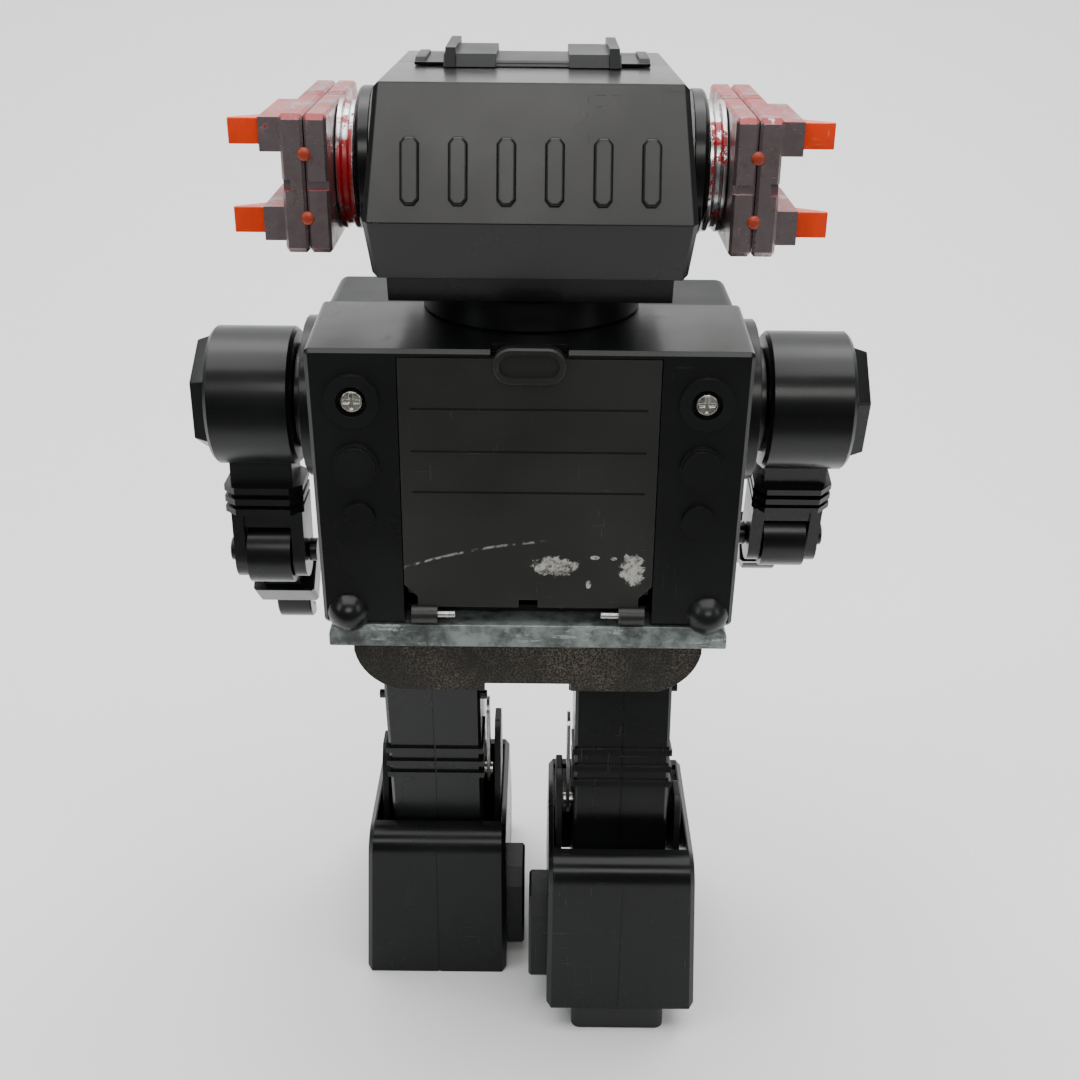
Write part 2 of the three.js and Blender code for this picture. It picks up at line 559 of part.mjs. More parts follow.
for (const [name, side] of SIDES) {
  add(robot, `shoulder_flange_${name}`, 'black', onSide(shoulderFlange(), side));
  const arm = new THREE.Group();
  arm.position.set(0, SEAM_Y, SHOULDER.z);
  arm.rotation.x = side > 0 ? 0 : -ARM_SWING;
  robot.add(arm);
  add(arm, `upper_arm_${name}`, 'black', onSide(upperArm(), side));
  add(arm, `shoulder_cap_${name}`, 'black', onSide(hexCap(), side));
  const elbow = new THREE.Group();
  elbow.position.set(0, 0, -ELBOW.drop);
  elbow.rotation.x = ELBOW.droop;
  arm.add(elbow);
  add(elbow, `forearm_${name}`, 'black', onSide(forearm(), side));
  add(elbow, `hand_${name}`, 'black', onSide(hand(), side));
  add(elbow, `elbow_pin_${name}`, 'black', onSide(elbowPin(), side));
}

// ---------------------------------------------------------------- legs and feet
// A leg is drawn upright, hanging from the hip shaft at the origin of its group.
function legColumn() {
  const { inner, outer, back, backFoot, front, foot, ribs } = LEG;
  const slope = (back - backFoot) / ANKLE.reach;
  const backAt = (z) => back + slope * z;
  const side = (inset) => outline([
    [front + inset, -2 - inset], [back - inset, -2 - inset], [backFoot - inset, -ANKLE.reach],
    [backFoot - 6 - inset, foot + inset], [front + 5 + inset, foot + inset], [front - 1 + inset, -ANKLE.reach],
  ]);
  const shell = cut(
    solid(alongX(side(0), inner, outer, 1)),
    solid(alongX(side(2), inner + 2, outer - 2)),
    box(inner + 6, outer - 6, -8, 8, foot - 3, foot + 8),
  );
  const bands = ribs.map((z) => cut(
    box(inner - 0.8, outer + 0.8, 4, backAt(z) + 1, z - 1.1, z + 1.1),
    box(inner + 1, outer - 1, 0, backAt(z) - 1.5, z - 2, z + 2),
  ));
  const knob = cylX(1.5, back - 4, -9, inner - 2.2, outer + 1.9, 10);
  const seam = solid(alongX(outline([
    [back - 0.4, 0], [back + 3, 0], [backFoot + 3, -ANKLE.reach], [backFoot - 0.4, -ANKLE.reach],
  ]), 31, 31.5));
  const pinSlot = join(
    cylX(2.5 + GAP, 0, -ANKLE.reach, 0, 60, 12), cylX(2.5 + GAP, 0, -ANKLE.raisedReach, 0, 60, 12),
    box(0, 60, -2.5 - GAP, 2.5 + GAP, -ANKLE.reach, -ANKLE.raisedReach),
  );
  const hub = cylX(7, 0, 0, inner, outer, 16);
  return cut(join(shell, hub, knob, ...bands), seam, pinSlot, cylX(3 + GAP, 0, 0, 0, 60, 12));
}

// The boot is drawn around its ankle, with its sole at -ANKLE.height.
const SOLE = -ANKLE.height;

function bootDraft(point) {
  const rise = THREE.MathUtils.clamp((point.z - SOLE) / BOOT.height, 0, 1);
  const middle = (BOOT.innerFoot + BOOT.outerFoot) / 2;
  const half = (BOOT.outerFoot - BOOT.innerFoot) / 2;
  const inner = BOOT.innerFoot + (BOOT.innerTop - BOOT.innerFoot) * rise;
  const outer = BOOT.outerFoot + (BOOT.outerTop - BOOT.outerFoot) * rise;
  point.x = (inner + outer) / 2 + ((point.x - middle) / half) * (outer - inner) / 2;
}

function bootBlock(inset, z0) {
  const { heel, length, height, innerFoot, outerFoot } = BOOT;
  const toe = heel - length;
  const top = SOLE + height;
  const side = new THREE.Shape();
  side.moveTo(toe + inset, z0);
  side.lineTo(heel - inset, z0);
  side.absarc(heel - 9, top - 9, 9 - inset, 0, Math.PI / 2);
  side.lineTo(-28 + inset, top - inset);
  side.lineTo(toe + 5 + inset, SOLE + 27 - inset);
  side.lineTo(toe + inset, SOLE + 18 - inset);
  const shell = alongX(side, innerFoot + inset, outerFoot - inset, inset ? 0 : 1.6);
  return solid(reshaped(shell, bootDraft));
}

function boot() {
  const rear = BOOT.heel - 9.5;
  const innerBlock = solid(alongX(outline([
    [rear, SOLE + 6], [rear, SOLE + 31], [rear - 4, SOLE + 37], [rear - 18, SOLE + 37], [rear - 22, SOLE + 31],
    [rear - 22, SOLE + 6], [rear - 19, SOLE + 3], [rear - 3, SOLE + 3],
  ]), 0.9, BOOT.innerFoot + 2, 0.8));
  const hollow = bootBlock(1.8, SOLE - 5);
  const mouth = box(9.2, 53, -24.6, 24.2, 20, 40);
  const seam = box(31.2, 31.7, BOOT.heel - 0.4, BOOT.heel + 2, SOLE - 1, SOLE + BOOT.height - 8);
  const pivot = cylX(2.5 + GAP, 0, 0, 5, 60, 12);
  return cut(bootBlock(0, SOLE), hollow).add(innerBlock).subtract(join(mouth, seam, pivot));
}

// The shoe stands on the floor inside the boot; its two cheeks reach up beside the leg.
function shoe() {
  const { heel, length } = BOOT;
  const toe = heel - length;
  const block = solid(alongZ(roundedRect(16, 47.6, toe + 9, heel - 2.2, 3), SOLE, SOLE + 9));
  const cheek = (top) => outline([
    [16, SOLE + 3], [16, 24], [12, top - 5], [8, top], [0, top], [-6, top - 7], [-16, 24], [-16, SOLE + 3],
  ]);
  const plates = join(
    solid(alongX(cheek(52), 49.4, 51.6)), solid(alongX(cheek(62), 9.6, 11.8)),
    box(9.6, 51.6, -14, 14, SOLE + 3, SOLE + 7),
  );
  const slot = join(box(5, 60, -2.9, 2.9, -LIFT, LIFT), cylX(2.9, 0, LIFT, 5, 60, 12), cylX(2.9, 0, -LIFT, 5, 60, 12));
  const pocket = box(22, 42.4, toe + 14, heel - 8, SOLE + 2, SOLE + 12);
  return cut(join(block, plates), slot, pocket);
}

function anklePin() {
  return cylX(2.5, 0, 0, 7.6, 56, 12);
}

for (const [name, side] of SIDES) {
  const turn = side > 0 ? -LEG_SWING : LEG_SWING;
  const hip = new THREE.Group();
  hip.position.set(0, HIP.y, HIP.z);
  hip.rotation.x = turn;
  robot.add(hip);
  add(hip, `leg_column_${name}`, 'black', onSide(legColumn(), side));
  const ankle = new THREE.Group();
  ankle.position.set(0, 0, side > 0 ? -ANKLE.reach : -ANKLE.raisedReach);
  ankle.rotation.x = -turn;
  hip.add(ankle);
  add(ankle, `boot_${name}`, 'black', onSide(boot(), side));
  add(ankle, `ankle_pin_${name}`, 'steel', onSide(anklePin(), side));
  const shoeMesh = add(ankle, `shoe_${name}`, 'dark', onSide(shoe(), side));
  shoeMesh.position.z = side > 0 ? 0 : -LIFT;
}

// The drawing's zero lies below the torso; the part's own origin is below the middle of its box.
robot.position.y = CENTRE_SHIFT;

export default robot;
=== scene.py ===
"""A black battery-driven walking robot toy, seen from behind on a pale studio floor."""
import math

import bpy
from mathutils import Matrix, Vector


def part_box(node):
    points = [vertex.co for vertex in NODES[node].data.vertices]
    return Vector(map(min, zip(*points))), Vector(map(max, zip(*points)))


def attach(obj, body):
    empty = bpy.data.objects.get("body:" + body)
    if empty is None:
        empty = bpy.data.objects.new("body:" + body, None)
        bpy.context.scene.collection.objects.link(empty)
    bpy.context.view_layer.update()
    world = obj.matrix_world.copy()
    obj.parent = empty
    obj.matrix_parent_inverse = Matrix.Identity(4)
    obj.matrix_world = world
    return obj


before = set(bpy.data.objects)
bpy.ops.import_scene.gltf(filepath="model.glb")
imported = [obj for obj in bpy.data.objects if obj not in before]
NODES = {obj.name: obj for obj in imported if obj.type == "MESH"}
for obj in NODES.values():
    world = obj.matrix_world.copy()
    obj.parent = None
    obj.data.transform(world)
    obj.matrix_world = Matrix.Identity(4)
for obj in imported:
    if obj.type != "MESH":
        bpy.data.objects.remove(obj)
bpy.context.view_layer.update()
MM = 0.001
DOOR_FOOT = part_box("battery_door")[0][2]
LEG_LEAN = math.radians(9)  # how far each leg leans from upright at rest
EYE = (-0.0035, 0.4369, 0.3615)  # where the camera stands
EYE_PITCH, EYE_ROLL = math.radians(25.2), math.radians(0.57)
EYE_LENS, EYE_SENSOR = 47.1, 36
EDGE_WIDTH = 0.35  # millimetres, where EDGE names no other
EDGE_STEPS = 3
EDGE_ANGLE = math.radians(32)
RIVET_PROFILE = ((1.9, -0.6), (1.9, 0.15), (1.5, 0.55), (0.7, 0.8))  # radius and rise, in millimetres
RIVET_HEIGHTS = (("upper", 0.72), ("lower", 0.26))  # share of the pod's height
LINK = {"face": 14.5, "thick": 1.1, "half": 4.6, "top": -30, "foot": -58}  # millimetres from the hip shaft
LINK_PIN = {"half": 2.1, "inward": 1.9, "outward": 1.4, "length": 0.01}
SPRING = {
    "turns": 2.5, "steps": 60, "wire": 0.45, "wide": 6.0, "narrow": 3.0, "length": 1.5, "stand_off": 0.5,
}


# ---------------------------------------------------------------- node helpers
class Shader:
    """A node tree built by chained calls; every call returns an output socket."""

    def __init__(self, name):
        self.material = bpy.data.materials.new(name)
        self.material.use_nodes = True
        self.tree = self.material.node_tree
        self.bsdf = self.tree.nodes["Principled BSDF"]
        self.place = self.node("ShaderNodeTexCoord").outputs["Object"]

    def node(self, kind, **values):
        made = self.tree.nodes.new(kind)
        for key, value in values.items():
            setattr(made, key, value)
        return made

    def put(self, socket, value):
        if isinstance(value, bpy.types.NodeSocket):
            self.tree.links.new(value, socket)
        else:
            socket.default_value = value

    def math(self, operation, a, b=0.0, clamp=False):
        made = self.node("ShaderNodeMath", operation=operation, use_clamp=clamp)
        self.put(made.inputs[0], a)
        self.put(made.inputs[1], b)
        return made.outputs[0]

    def xyz(self):
        split = self.node("ShaderNodeSeparateXYZ")
        self.put(split.inputs[0], self.place)
        return split.outputs

    def stretched(self, scale):
        mapping = self.node("ShaderNodeMapping")
        self.put(mapping.inputs["Vector"], self.place)
        mapping.inputs["Scale"].default_value = scale
        return mapping.outputs[0]

    def noise(self, scale, detail=4.0, rough=0.55, vector=None):
        made = self.node("ShaderNodeTexNoise")
        self.put(made.inputs["Vector"], vector or self.place)
        made.inputs["Scale"].default_value = scale
        made.inputs["Detail"].default_value = detail
        made.inputs["Roughness"].default_value = rough
        return made.outputs["Fac"]

    def cells(self, scale, vector=None):
        made = self.node("ShaderNodeTexVoronoi")
        self.put(made.inputs["Vector"], vector or self.place)
        made.inputs["Scale"].default_value = scale
        return made

    def ramp(self, value, low, high, from_value=0.0, to_value=1.0):
        made = self.node("ShaderNodeMapRange", interpolation_type="SMOOTHSTEP")
        self.put(made.inputs["Value"], value)
        made.inputs["From Min"].default_value = low
        made.inputs["From Max"].default_value = high
        made.inputs["To Min"].default_value = from_value
        made.inputs["To Max"].default_value = to_value
        return made.outputs[0]

    def mix(self, factor, a, b):
        made = self.node("ShaderNodeMix", data_type="RGBA")
        self.put(made.inputs["Factor"], factor)
        self.put(made.inputs["A"], rgba(a))
        self.put(made.inputs["B"], rgba(b))
        return made.outputs["Result"]

    def bump(self, height, strength, distance):
        made = self.node("ShaderNodeBump")
        made.inputs["Strength"].default_value = strength
        made.inputs["Distance"].default_value = distance
        self.put(made.inputs["Height"], height)
        return made.outputs[0]

    def finish(self, **values):
        for key, value in values.items():
            self.put(self.bsdf.inputs[key.replace("_", " ")], rgba(value) if key == "Base_Color" else value)
        return self.material


def rgba(value):
    return (*value, 1.0) if isinstance(value, tuple) and len(value) == 3 else value


def scratches(shader, scale=90.0, amount=0.06):
    """Fine hairlines in two directions, as a mask."""
    lines = []
    for stretch in ((1.0, 0.6, 14.0), (12.0, 0.6, 1.2)):
        grain = shader.noise(scale, 2.0, 0.6, shader.stretched(stretch))
        lines.append(shader.ramp(grain, 0.68 - amount * 0.3, 0.74))
    patches = shader.ramp(shader.noise(22.0, 2.0), 0.5, 0.68)
    return shader.math("MULTIPLY", shader.math("MAXIMUM", *lines), patches)


# ---------------------------------------------------------------- materials
def aged_black(name, tone=(0.0042, 0.0044, 0.0048), rough=0.3, dust=0.5, shine=0.3):
    s = Shader(name)
    cloud = s.noise(14.0, 5.0)
    marks = scratches(s)
    specks = s.ramp(s.cells(900.0).outputs["Distance"], 0.10, 0.02)
    specks = s.math("MULTIPLY", specks, s.ramp(s.noise(60.0, 2.0), 0.55, 0.7))
    colour = s.mix(s.ramp(cloud, 0.35, 0.75), tone, tuple(c * 1.7 for c in tone))
    colour = s.mix(s.math("MULTIPLY", marks, 0.25 * dust), colour, (0.16, 0.16, 0.155))
    colour = s.mix(s.math("MULTIPLY", specks, 0.4 * dust), colour, (0.3, 0.29, 0.27))
    gloss = s.math("ADD", s.ramp(cloud, 0.3, 0.8, rough - 0.06, rough + 0.1), s.math("MULTIPLY", marks, 0.15))
    ripple = s.math("ADD", s.noise(35.0, 2.0), s.math("MULTIPLY", marks, -0.15))
    return s.finish(
        Base_Color=colour, Roughness=gloss, Specular_IOR_Level=shine, Coat_Weight=shine * 0.2,
        Coat_Roughness=0.08,
        Normal=s.bump(ripple, 0.25, 0.0006),
    )


# x from the door's middle, z above its foot, half width, half height in millimetres, and raggedness
DOOR_SCUFFS = (
    (-8.2, 20.2, 7.0, 3.2, 4.2), (-31.8, 19.2, 3.8, 5.2, 4.2), (-20.3, 23.3, 1.5, 0.7, 1.6),
    (-18.5, 14.2, 0.9, 1.6, 1.6), (-26.0, 23.0, 1.0, 0.6, 1.6),
)


def blotch(s, x, z, half_x, half_z, ragged):
    """A ragged patch of the door's outer face; x from its middle and z above its foot, in millimetres."""
    px, _, pz = s.xyz()
    dx = s.math("DIVIDE", s.math("SUBTRACT", px, x * MM), half_x * MM)
    dz = s.math("DIVIDE", s.math("SUBTRACT", pz, DOOR_FOOT + z * MM), half_z * MM)
    across = s.math("POWER", s.math("ABSOLUTE", dx), 2.0)
    reach = s.math("ADD", across, s.math("POWER", s.math("ABSOLUTE", dz), 2.0))
    tear = s.math("SUBTRACT", s.noise(420.0, 6.0, 0.75), 0.5)
    edge = s.math("ADD", reach, s.math("MULTIPLY", tear, ragged))
    return s.ramp(edge, 1.0, 0.7)


def bowed_scratch(s):
    """A long shallow scratch that bows across the lower right half of the door."""
    px, _, pz = s.xyz()
    slope = s.math("MULTIPLY", px, -0.224)
    bow = s.math("MULTIPLY", s.math("POWER", s.math("ABSOLUTE", s.math("SUBTRACT", px, 0.018)), 2.0), -3.3)
    line = s.math("ADD", s.math("ADD", DOOR_FOOT + 29.2 * MM, slope), bow)
    away = s.math("ABSOLUTE", s.math("SUBTRACT", pz, line))
    mark = s.math("MULTIPLY", s.ramp(away, 0.0006, 0.0001), s.ramp(px, -0.008, 0.0))
    return s.math("MULTIPLY", mark, s.ramp(s.noise(260.0, 3.0), 0.42, 0.56))


def worn_door():
    s = Shader("worn_door")
    cloud = s.noise(18.0, 5.0)
    grain = s.noise(900.0, 3.0, 0.7)
    scuff = s.math("MULTIPLY", bowed_scratch(s), 0.6)
    for patch in DOOR_SCUFFS:
        scuff = s.math("MAXIMUM", scuff, blotch(s, *patch))
    broken = s.ramp(s.noise(520.0, 6.0, 0.8), 0.4, 0.56, 0.15, 1.0)
    light = s.math("MULTIPLY", scuff, broken)
    base = s.mix(s.ramp(cloud, 0.3, 0.75), (0.009, 0.0098, 0.008), (0.016, 0.0168, 0.0142))
    base = s.mix(s.math("MULTIPLY", scratches(s, 70.0), 0.2), base, (0.2, 0.2, 0.19))
    colour = s.mix(light, base, (0.46, 0.45, 0.41))
    rough = s.math("ADD", s.ramp(cloud, 0.3, 0.8, 0.38, 0.5), s.math("MULTIPLY", light, 0.3))
    height = s.math("ADD", s.math("MULTIPLY", grain, 0.3), s.math("MULTIPLY", light, -0.8))
    return s.finish(
        Base_Color=colour, Roughness=rough, Specular_IOR_Level=0.5, Normal=s.bump(height, 0.3, 0.0002),
    )


def silvered(name, red=0.5):
    """Vacuum-metallised plastic, pitted and rubbed, with the remains of red paint on its upper faces."""
    s = Shader(name)
    cloud = s.noise(55.0, 6.0, 0.65)
    pits = s.ramp(s.cells(520.0).outputs["Distance"], 0.16, 0.05)
    pits = s.math("MULTIPLY", pits, s.ramp(s.noise(90.0, 4.0), 0.45, 0.62))
    normal = s.node("ShaderNodeNewGeometry").outputs["Normal"]
    facing = s.node("ShaderNodeSeparateXYZ")
    s.put(facing.inputs[0], normal)
    upper = s.ramp(facing.outputs[2], 0.2, 0.75)
    _, py, _ = s.xyz()
    front = s.ramp(py, 0.03, 0.012)
    paint_place = s.math("MAXIMUM", s.math("MULTIPLY", upper, 0.75), s.math("MULTIPLY", front, 0.45))
    ragged = s.math("ADD", s.noise(130.0, 8.0, 0.72), s.math("MULTIPLY", paint_place, 0.32 * red))
    paint = s.ramp(ragged, 0.62, 0.66)
    metal = s.mix(s.ramp(cloud, 0.3, 0.7), (0.42, 0.34, 0.35), (0.22, 0.165, 0.17))
    metal = s.mix(pits, metal, (0.10, 0.06, 0.05))
    rust = s.ramp(s.noise(210.0, 5.0, 0.7), 0.6, 0.72)
    metal = s.mix(s.math("MULTIPLY", rust, 0.55), metal, (0.30, 0.13, 0.10))
    colour = s.mix(paint, metal, (0.33, 0.016, 0.02))
    shine = s.math("SUBTRACT", 0.85, s.math("MULTIPLY", paint, 0.85))
    rough = s.math("ADD", s.ramp(cloud, 0.3, 0.75, 0.24, 0.42), s.math("MULTIPLY", pits, 0.25))
    height = s.math("SUBTRACT", s.math("MULTIPLY", paint, 0.5), pits)
    return s.finish(Base_Color=colour, Metallic=shine, Roughness=rough, Normal=s.bump(height, 0.35, 0.0002))


def worn_band():
    """Chrome rims either side of a red band that has rubbed through."""
    s = Shader("worn_band")
    px, _, _ = s.xyz()
    low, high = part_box("pod_mount_left")
    away = s.math("ABSOLUTE", s.math("SUBTRACT", s.math("ABSOLUTE", px), (low[0] + high[0]) / 2))
    band = s.ramp(away, 0.0024, 0.0018)
    rub = s.ramp(s.noise(95.0, 9.0, 0.75), 0.47, 0.53)
    speck = s.ramp(s.noise(600.0, 3.0), 0.5, 0.62, 1.0, 0.75)
    paint = s.math("MULTIPLY", s.ramp(rub, 0.2, 0.8, 0.15, 1.0), speck)
    paint = s.math("MULTIPLY", paint, s.ramp(band, 0, 1, 0.35, 1))
    paint = s.ramp(paint, 0.35, 0.5)
    cloud = s.noise(70.0, 4.0)
    metal = s.mix(s.ramp(cloud, 0.3, 0.7), (0.74, 0.73, 0.74), (0.45, 0.43, 0.43))
    colour = s.mix(paint, metal, (0.36, 0.012, 0.018))
    return s.finish(
        Base_Color=colour, Metallic=s.math("SUBTRACT", 1.0, paint),
        Roughness=s.ramp(cloud, 0.2, 0.8, 0.14, 0.36), Normal=s.bump(paint, 0.4, 0.00015),
    )


def galvanised():
    s = Shader("galvanised")
    cloud = s.noise(70.0, 9.0, 0.72)
    fine = s.noise(420.0, 6.0, 0.75)
    spangle = s.node("ShaderNodeRGBToBW")
    s.put(spangle.inputs[0], s.cells(260.0).outputs["Color"])
    colour = s.mix(s.ramp(cloud, 0.38, 0.62), (0.055, 0.062, 0.06), (0.30, 0.34, 0.32))
    colour = s.mix(s.math("MULTIPLY", spangle.outputs[0], 0.3), colour, (0.20, 0.24, 0.23))
    streak = s.ramp(s.noise(150.0, 6.0, 0.7, s.stretched((0.3, 1.0, 2.2))), 0.52, 0.66)
    streak = s.math("MULTIPLY", streak, s.ramp(fine, 0.42, 0.58))
    colour = s.mix(s.math("MULTIPLY", streak, 0.75), colour, (0.62, 0.66, 0.64))
    return s.finish(
        Base_Color=colour, Metallic=0.4, Roughness=s.ramp(cloud, 0.3, 0.7, 0.34, 0.6),
        Normal=s.bump(s.math("ADD", cloud, fine), 0.3, 0.0002),
    )


def grainy_pelvis():
    s = Shader("grainy_pelvis")
    grain = s.noise(1500.0, 3.0, 0.7)
    cloud = s.noise(24.0, 6.0, 0.65)
    rubbed = s.math("MULTIPLY", s.ramp(cloud, 0.42, 0.66), s.ramp(grain, 0.45, 0.62))
    colour = s.mix(s.ramp(grain, 0.3, 0.7), (0.014, 0.0125, 0.0105), (0.034, 0.030, 0.025))
    colour = s.mix(s.math("MULTIPLY", rubbed, 0.8), colour, (0.15, 0.125, 0.095))
    return s.finish(
        Base_Color=colour, Metallic=0.45, Roughness=s.ramp(cloud, 0.3, 0.8, 0.3, 0.46),
        Normal=s.bump(grain, 0.15, 0.00012),
    )


def bright_steel(name, tone=(0.58, 0.58, 0.57), rough=0.25, dirt=0.4):
    s = Shader(name)
    grain = s.noise(320.0, 4.0, 0.6, s.stretched((6.0, 1.0, 1.0)))
    grime = s.ramp(s.noise(240.0, 5.0, 0.7), 0.52, 0.7)
    colour = s.mix(s.ramp(grain, 0.3, 0.7), tone, tuple(c * 0.72 for c in tone))
    colour = s.mix(s.math("MULTIPLY", grime, dirt), colour, (0.06, 0.045, 0.03))
    return s.finish(
        Base_Color=colour, Metallic=1.0, Roughness=s.ramp(grain, 0.3, 0.7, rough, rough + 0.18),
        Normal=s.bump(grain, 0.2, 0.0001),
    )


def tinted_plastic(name, tone, rough=0.28, subsurface=0.0):
    s = Shader(name)
    cloud = s.noise(75.0, 4.0)
    marks = scratches(s, 160.0)
    darker = tuple(c * 0.72 for c in tone)
    colour = s.mix(s.ramp(cloud, 0.3, 0.75), tone, darker)
    colour = s.mix(s.math("MULTIPLY", marks, 0.3), colour, (0.8, 0.5, 0.4))
    return s.finish(
        Base_Color=colour, Roughness=s.ramp(cloud, 0.3, 0.8, rough, rough + 0.14),
        Subsurface_Weight=subsurface, Subsurface_Radius=(0.006, 0.002, 0.001), Subsurface_Scale=1.0,
        Normal=s.bump(cloud, 0.15, 0.0003),
    )


def cell_sleeve():
    s = Shader("cell_sleeve")
    px, _, _ = s.xyz()
    end_band = s.ramp(s.math("ABSOLUTE", px), 0.0215, 0.022)
    tip = s.ramp(s.math("ABSOLUTE", px), 0.0292, 0.0294)
    colour = s.mix(end_band, (0.02, 0.035, 0.06), (0.55, 0.32, 0.08))
    colour = s.mix(tip, colour, (0.6, 0.6, 0.6))
    rough = s.ramp(s.noise(180.0, 4.0), 0.3, 0.7, 0.22, 0.4)
    return s.finish(Base_Color=colour, Metallic=s.ramp(tip, 0, 1, 0.3, 1.0), Roughness=rough)


BLACK = aged_black("aged_black")
LOOKS = {
    "head": aged_black("head_black", (0.0062, 0.0062, 0.006), 0.27, 0.7),
    "dull": aged_black("dull_black", rough=0.34, dust=0.4, shine=0.1),
    "boot": aged_black("boot_black", rough=0.26, dust=0.6, shine=0.2),
    "door": worn_door(),
    "silver": silvered("silvered", 0.8),
    "trim": silvered("silvered_trim", 0.1),
    "band": worn_band(),
    "zinc": galvanised(),
    "pelvis": grainy_pelvis(),
    "steel": bright_steel("bright_steel"),
    "screw": bright_steel("screw_steel", (0.66, 0.64, 0.58), 0.2, 0.7),
    "brass": bright_steel("contact_brass", (0.62, 0.45, 0.2), 0.25, 0.3),
    "orange": tinted_plastic("lever_orange", (0.92, 0.055, 0.006), 0.25, 0.08),
    "red": tinted_plastic("lens_red", (0.30, 0.012, 0.012), 0.14),
    "inner": aged_black("inner_black", (0.007, 0.007, 0.0075), 0.45, 0.2),
    "rivet": tinted_plastic("rivet_red", (0.42, 0.05, 0.02), 0.3),
    "cell": cell_sleeve(),
    "black": BLACK,
}
NAMED = {
    "battery_door": "door", "waist_plate": "zinc", "pelvis_pan": "pelvis", "chest_bezel": "trim",
    "mouth_grille": "trim", "visor_lens": "red", "chest_lens": "red", "power_switch": "orange",
    "battery_tray": "inner", "drive_motor": "steel", "gearbox_frame": "steel", "crankshaft": "steel",
    "hip_shaft": "steel", "head_crest": "dull", "torso_front_shell": "dull",
}
PREFIXED = {
    "head_": "head", "pod_mount": "band", "pod_": "silver", "upper_lever": "orange", "lower_lever": "orange",
    "rear_screw": "screw", "door_pin": "steel", "ankle_pin": "steel", "cell_": "cell", "contact_": "brass",
    "shoe_": "inner", "boot_": "boot",
}


def look_of(name):
    if name in NAMED:
        return NAMED[name]
    return next((look for prefix, look in PREFIXED.items() if name.startswith(prefix)), "black")


# ---------------------------------------------------------------- softened CAD nodes
EDGE = {"torso_rear_shell": 0.45, "torso_front_shell": 0.7, "head_rear_shell": 0.5, "head_front_shell": 0.7,
        "waist_plate": 0.5, "pelvis_pan": 0.5, "battery_door": 0.3}


def soften(name, node):
    """Rounds the moulded edges of a node and shades its round faces smooth."""
    node.data.materials.clear()
    node.data.materials.append(LOOKS[look_of(name)])
    weld = node.modifiers.new("weld", "WELD")
    weld.merge_threshold = 1e-6
    flat = node.modifiers.new("flat", "DECIMATE")
    flat.decimate_type = "DISSOLVE"
    flat.angle_limit = math.radians(1.0)
    bevel = node.modifiers.new("edge", "BEVEL")
    bevel.width = EDGE.get(name, EDGE_WIDTH) * MM
    bevel.segments = EDGE_STEPS
    bevel.limit_method = "ANGLE"
    bevel.angle_limit = EDGE_ANGLE
    bevel.harden_normals = False
    node.data.shade_smooth()
    facing = node.modifiers.new("facing", "WEIGHTED_NORMAL")
    facing.weight = 100
    facing.keep_sharp = True


for node_name, node_object in NODES.items():
    soften(node_name, node_object)


# ---------------------------------------------------------------- small pieces
def piece(name, verts, faces, look, slot, body):
    """A mesh in the row frame, in metres, that moves with a body."""
    mesh = bpy.data.meshes.new(name)
    mesh.from_pydata(verts, [], faces)
    mesh.materials.append(LOOKS[look])
    made = bpy.data.objects.new(name, mesh)
    bpy.context.collection.objects.link(made)
    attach(made, body)
    return made


def swept(rings):
    """Verts and faces of a closed skin over a row of equal rings, capped at both ends."""
    count = len(rings[0])
    verts = [point for ring in rings for point in ring]
    faces = []
    for r in range(len(rings) - 1):
        for i in range(count):
            a, b = r * count + i, r * count + (i + 1) % count
            faces.append((a, b, b + count, a + count))
    last = (len(rings) - 1) * count
    faces.append(tuple(reversed(range(count))))
    faces.append(tuple(range(last, last + count)))
    return verts, faces


def rivets(name, side):
    """Two domed rivets on the seam at the back of a side pod."""
    inner_low, inner_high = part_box(f"pod_inner_shell_{name}")
    outer_low, outer_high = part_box(f"pod_outer_shell_{name}")
    seam = (inner_high[0] + outer_low[0]) / 2 if side > 0 else (inner_low[0] + outer_high[0]) / 2
    back = inner_high[1]
    for place, share in RIVET_HEIGHTS:
        z = inner_low[2] + (inner_high[2] - inner_low[2]) * share
        rings = []
        for radius, rise in RIVET_PROFILE:
            rings.append([
                (seam + radius * MM * math.cos(t), back + rise * MM, z - radius * MM * math.sin(t))
                for t in (math.tau * i / 16 for i in range(16))
            ])
        made = piece(f"pod_rivet_{place}_{name}", *swept(rings), "rivet", "red_plastic", f"pod_{name}")
        made.data.shade_smooth()


